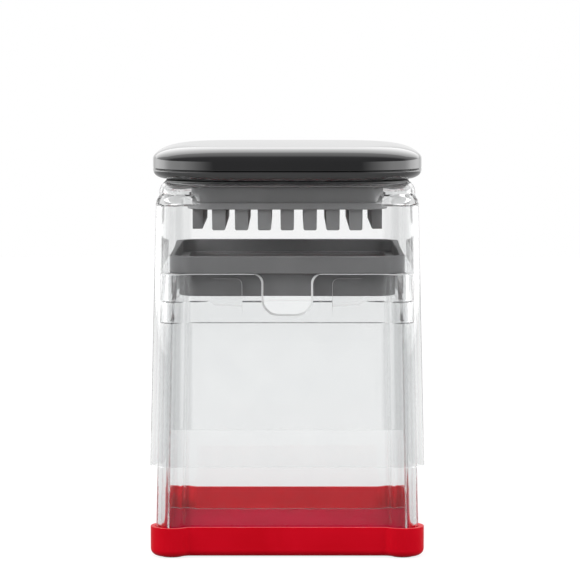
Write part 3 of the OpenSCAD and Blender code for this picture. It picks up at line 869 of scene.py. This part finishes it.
def lid_outline(name, half, z):
    """The lid's outline as an edge: a square that swells into full round corners."""
    bpy.ops.object.select_all(action="DESELECT")
    bpy.ops.mesh.primitive_plane_add(size=2 * half, location=(0, 0, z))
    piece = bpy.context.object
    piece.name = name
    bpy.ops.object.transform_apply(location=True, rotation=False, scale=False)
    bpy.ops.object.mode_set(mode="EDIT")
    bpy.ops.mesh.bevel(offset=half, segments=24, profile=0.70711, affect="VERTICES", clamp_overlap=False)
    bpy.ops.mesh.select_all(action="SELECT")
    bpy.ops.mesh.remove_doubles(threshold=NEAR)
    bpy.ops.mesh.delete(type="ONLY_FACE")
    bpy.ops.mesh.select_all(action="SELECT")
    return piece


def follow(points):
    """Carries the selected edge through points of half width and height."""
    for (half_before, z_before), (half_after, z_after) in zip(points, points[1:]):
        raise_edge(z_after - z_before, half_after / half_before)


def close_ends(piece, low, high):
    """Closes both ends of a shell and turns its faces outwards."""
    for level in (low, high):
        pick("EDGE", lambda edge: edge.is_boundary and at_height(edge, level))
        bpy.ops.mesh.edge_face_add()
    face_outwards()


lower_low, lower_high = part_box("lid_lower")
neck_half = 51.0 * MM
neck_h = 0.4 * MM
under_run = 4.8 * MM
under_h = 3.5 * MM
under_steps = 8
lower_wall = 2.2 * MM
lower_edge_r = 0.25 * MM
lower_z = lower_low[2] + neck_h
lid_half = lower_high[0]
lower_points = [(neck_half, lower_low[2] + stand_off), (neck_half, lower_z), (lid_half - under_run, lower_z)]
for step in range(1, under_steps + 1):
    angle = math.pi / 2 * step / under_steps
    half = lid_half - under_run * (1 - math.sin(angle))
    lower_points.append((half, lower_z + under_h * (1 - math.cos(angle))))
lower_points.append((lid_half, lower_high[2]))
lower_points.append((lid_half - lower_wall, lower_high[2]))
lower_points.append((lid_half - lower_wall, lower_z + lower_wall))
lower = lid_outline("lid_dish", *lower_points[0])
follow(lower_points)
close_ends(lower, lower_low[2] + stand_off, lower_z + lower_wall)
finish_edges(lower, lower_edge_r)

cap_low, cap_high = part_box("lid_cap")
seam_gap = 0.45 * MM
cap_side_h = 3.9 * MM
cap_edge_h = 5.7 * MM
cap_edge_run = 17.5 * MM
cap_edge_steps = 12
cap_edge_r = 0.3 * MM
cap_wall = 2.4 * MM
crown_parts = (0.82, 0.64, 0.46, 0.28, 0.1)
cap_z = lower_high[2] + seam_gap
edge_z = cap_z + cap_side_h
crown_z = edge_z + cap_edge_h
cap_points = [(lid_half - lower_wall - cap_wall, edge_z), (lid_half - lower_wall - cap_wall, cap_low[2]),
              (lid_half - lower_wall - seam_gap, cap_low[2]), (lid_half - lower_wall - seam_gap, cap_z),
              (lid_half, cap_z)]
for step in range(cap_edge_steps + 1):
    angle = math.pi / 2 * step / cap_edge_steps
    half = lid_half - cap_edge_run * (1 - math.cos(angle))
    cap_points.append((half, edge_z + cap_edge_h * math.sin(angle)))
for part in crown_parts:
    half = (lid_half - cap_edge_run) * part
    cap_points.append((half, cap_high[2] - (cap_high[2] - crown_z) * part * part))
cap = lid_outline("lid_cap_shell", *cap_points[0])
follow(cap_points)
close_ends(cap, edge_z, cap_points[-1][1])
finish_edges(cap, cap_edge_r)


def polished_plastic(name, low, high, shine):
    """Polished dark plastic with faint smears from handling."""
    material, shader = start_material(name)
    shader.inputs["Specular IOR Level"].default_value = shine
    marks = place_group(material, handling_marks, Smear_Scale=32.0, Scuff_Scale=420.0)
    tint(material, marks.outputs["Smear"], low, high, shader.inputs["Base Color"])
    spread(material, marks.outputs["Scuff"], low=0.03, high=0.08, target=shader.inputs["Roughness"])
    emboss(material, marks.outputs["Scuff"], strength=0.08, depth=0.01 * MM, shader=shader)
    return material


lid_grey = polished_plastic("lid_grey", low=(0.028, 0.028, 0.029), high=(0.034, 0.034, 0.035), shine=0.7)
lid_dark = polished_plastic("lid_dark", low=(0.011, 0.011, 0.012), high=(0.014, 0.014, 0.015), shine=0.7)
lower.data.materials.append(lid_grey)
cap.data.materials.append(lid_dark)
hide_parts("lid_lower")
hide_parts("lid_cap")
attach(lower, "press")
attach(cap, "press")

# Lid screws
# Four plated steel screws stand under the cap and go through the dish and the sleeve's roof into the
# pusher's posts. Their heads are turned, so the nodes keep their shape and take a turned finish.

screw_steel = ground_steel("screw_steel", low=(0.48, 0.48, 0.49), high=(0.58, 0.58, 0.59),
                           smooth=0.22, rough=0.38, line_scale=4200.0, stretch=0.3)
finish_node("lid_screws", screw_steel)

# Studio
# A white floor under even white light, with a soft lamp on each side and a card behind for the lid's sheen.
# Side panels that only gloss shows light the lid's ends. The camera stands in front, a little above the rim.


def fade_forward(tree, way, low, high, darkest, lightest):
    """A value that falls from its lightest behind the part to its darkest in front of it."""
    parts = add_node(tree, "ShaderNodeSeparateXYZ")
    span = value_span(tree, low, high, darkest, lightest)
    tree.links.new(way, parts.inputs["Vector"])
    tree.links.new(parts.outputs["Y"], span.inputs["Value"])
    return span.outputs["Result"]


def studio_level(tree, way, gloss_white):
    """How white the studio is: white to the eye, and darker in front for gloss and the clear pieces."""
    path = add_node(tree, "ShaderNodeLightPath")
    gloss = add_node(tree, "ShaderNodeMath", operation="MULTIPLY")
    clear = add_node(tree, "ShaderNodeMath", operation="MULTIPLY")
    both = add_node(tree, "ShaderNodeMath", operation="MAXIMUM")
    level = add_node(tree, "ShaderNodeMath", operation="MAXIMUM")
    gloss_fade = fade_forward(tree, way, low=0.15, high=0.45, darkest=0.25, lightest=gloss_white)
    clear_fade = fade_forward(tree, way, low=-0.3, high=0.97, darkest=0.4, lightest=0.99)
    tree.links.new(path.outputs["Is Glossy Ray"], gloss.inputs[0])
    tree.links.new(gloss_fade, gloss.inputs[1])
    tree.links.new(path.outputs["Is Transmission Ray"], clear.inputs[0])
    tree.links.new(clear_fade, clear.inputs[1])
    tree.links.new(gloss.outputs["Value"], both.inputs[0])
    tree.links.new(clear.outputs["Value"], both.inputs[1])
    tree.links.new(path.outputs["Is Camera Ray"], level.inputs[0])
    tree.links.new(both.outputs["Value"], level.inputs[1])
    return level.outputs["Value"]


floor_r = 1.6
floor_glow = 0.8
fade_height = 0.18


def white_floor_material():
    """A white floor that stays white to the eye and in gloss and glass, and still takes a shadow."""
    material, shader = start_material("white_floor")
    tree = material.node_tree
    shader.inputs["Base Color"].default_value = (0.3, 0.3, 0.3, 1)
    shader.inputs["Roughness"].default_value = 0.9
    shader.inputs["Specular IOR Level"].default_value = 0.0
    place = add_node(tree, "ShaderNodeTexCoord")
    from_middle = add_node(tree, "ShaderNodeVectorMath", operation="SUBTRACT")
    from_middle.inputs[1].default_value = (0, 0, fade_height)
    way = add_node(tree, "ShaderNodeVectorMath", operation="NORMALIZE")
    share = add_node(tree, "ShaderNodeMath", operation="MULTIPLY")
    share.inputs[1].default_value = floor_glow
    glow = add_node(tree, "ShaderNodeEmission")
    total = add_node(tree, "ShaderNodeAddShader")
    tree.links.new(place.outputs["Object"], from_middle.inputs[0])
    tree.links.new(from_middle.outputs["Vector"], way.inputs[0])
    tree.links.new(studio_level(tree, way.outputs["Vector"], gloss_white=0.4), share.inputs[0])
    tree.links.new(share.outputs["Value"], glow.inputs["Strength"])
    tree.links.new(shader.outputs["BSDF"], total.inputs[0])
    tree.links.new(glow.outputs["Emission"], total.inputs[1])
    tree.links.new(total.outputs["Shader"], tree.nodes["Material Output"].inputs["Surface"])
    return material


bpy.ops.object.select_all(action="DESELECT")
bpy.ops.mesh.primitive_circle_add(vertices=64, radius=floor_r, fill_type="NGON", location=(0, 0, 0))
floor = bpy.context.object
floor.name = "studio_floor"
floor.data.materials.append(white_floor_material())

world = bpy.data.worlds.new("white_studio")
bpy.context.scene.world = world
world.use_nodes = True
sky = world.node_tree
sky.nodes.clear()
way = add_node(sky, "ShaderNodeTexCoord")
seen = add_node(sky, "ShaderNodeBackground", Color=(1, 1, 1, 1))
lit = add_node(sky, "ShaderNodeBackground", Color=(1, 1, 1, 1), Strength=0.75)
path = add_node(sky, "ShaderNodeLightPath")
mixed = add_node(sky, "ShaderNodeMixShader")
output = add_node(sky, "ShaderNodeOutputWorld")


def side_panels(tree, way):
    """Bright panels on both sides, low down, that only gloss shows."""
    path = add_node(tree, "ShaderNodeLightPath")
    parts = add_node(tree, "ShaderNodeSeparateXYZ")
    aside = add_node(tree, "ShaderNodeMath", operation="ABSOLUTE")
    across = value_span(tree, low=0.35, high=0.9, at_low=0.0, at_high=2.6)
    off_level = add_node(tree, "ShaderNodeMath", operation="ABSOLUTE")
    upright = value_span(tree, low=0.1, high=0.18, at_low=1.0, at_high=0.0)
    panel = add_node(tree, "ShaderNodeMath", operation="MULTIPLY")
    level = add_node(tree, "ShaderNodeMath", operation="MULTIPLY")
    tree.links.new(way, parts.inputs["Vector"])
    tree.links.new(parts.outputs["X"], aside.inputs[0])
    tree.links.new(aside.outputs["Value"], across.inputs["Value"])
    tree.links.new(parts.outputs["Z"], off_level.inputs[0])
    tree.links.new(off_level.outputs["Value"], upright.inputs["Value"])
    tree.links.new(across.outputs["Result"], panel.inputs[0])
    tree.links.new(upright.outputs["Result"], panel.inputs[1])
    tree.links.new(panel.outputs["Value"], level.inputs[0])
    tree.links.new(path.outputs["Is Glossy Ray"], level.inputs[1])
    return level.outputs["Value"]


strength = add_node(sky, "ShaderNodeMath", operation="ADD")
sky.links.new(studio_level(sky, way.outputs["Generated"], gloss_white=1.0), strength.inputs[0])
sky.links.new(side_panels(sky, way.outputs["Generated"]), strength.inputs[1])
sky.links.new(strength.outputs["Value"], seen.inputs["Strength"])
sky.links.new(path.outputs["Is Diffuse Ray"], mixed.inputs["Fac"])
sky.links.new(seen.outputs["Background"], mixed.inputs[1])
sky.links.new(lit.outputs["Background"], mixed.inputs[2])
sky.links.new(mixed.outputs["Shader"], output.inputs["Surface"])


part_middle = Vector((0, 0, 0.1))
lamp_size = 0.6
side_lamps = (("left_lamp", (-0.8, -0.45, 0.65), 5.0), ("right_lamp", (0.85, -0.3, 0.55), 3.5))


def soft_lamp(name, place, width, height, power):
    """A soft lamp that faces the middle of the part."""
    bpy.ops.object.light_add(type="AREA", location=place)
    lamp = bpy.context.object
    lamp.name = name
    lamp.data.shape = "RECTANGLE"
    lamp.data.size = width
    lamp.data.size_y = height
    lamp.data.energy = power
    away = lamp.location - part_middle
    lamp.rotation_euler = away.to_track_quat("Z", "Y").to_euler()
    return lamp


for name, place, power in side_lamps:
    lamp = soft_lamp(name, place, lamp_size, lamp_size, power)
    lamp.visible_glossy = False
back_card = soft_lamp("back_card", (0, 1.2, 0.72), width=1.6, height=0.8, power=3.0)
back_card.visible_diffuse = False
back_card.visible_transmission = False

camera_place = (0.0012, -1.26353, 0.22894)
camera_tilt = math.radians(84.7335)
clear_bounces = 128
bpy.ops.object.camera_add(location=camera_place, rotation=(camera_tilt, 0, 0))
camera = bpy.context.object
camera.name = "front_camera"
camera.data.lens = 173.49
camera.data.sensor_width = 36.0
camera.data.clip_start = 0.05
bpy.context.scene.camera = camera
bpy.context.scene.view_settings.view_transform = "Standard"
bpy.context.scene.cycles.max_bounces = clear_bounces
bpy.context.scene.cycles.transmission_bounces = clear_bounces
bpy.context.scene.cycles.glossy_bounces = clear_bounces
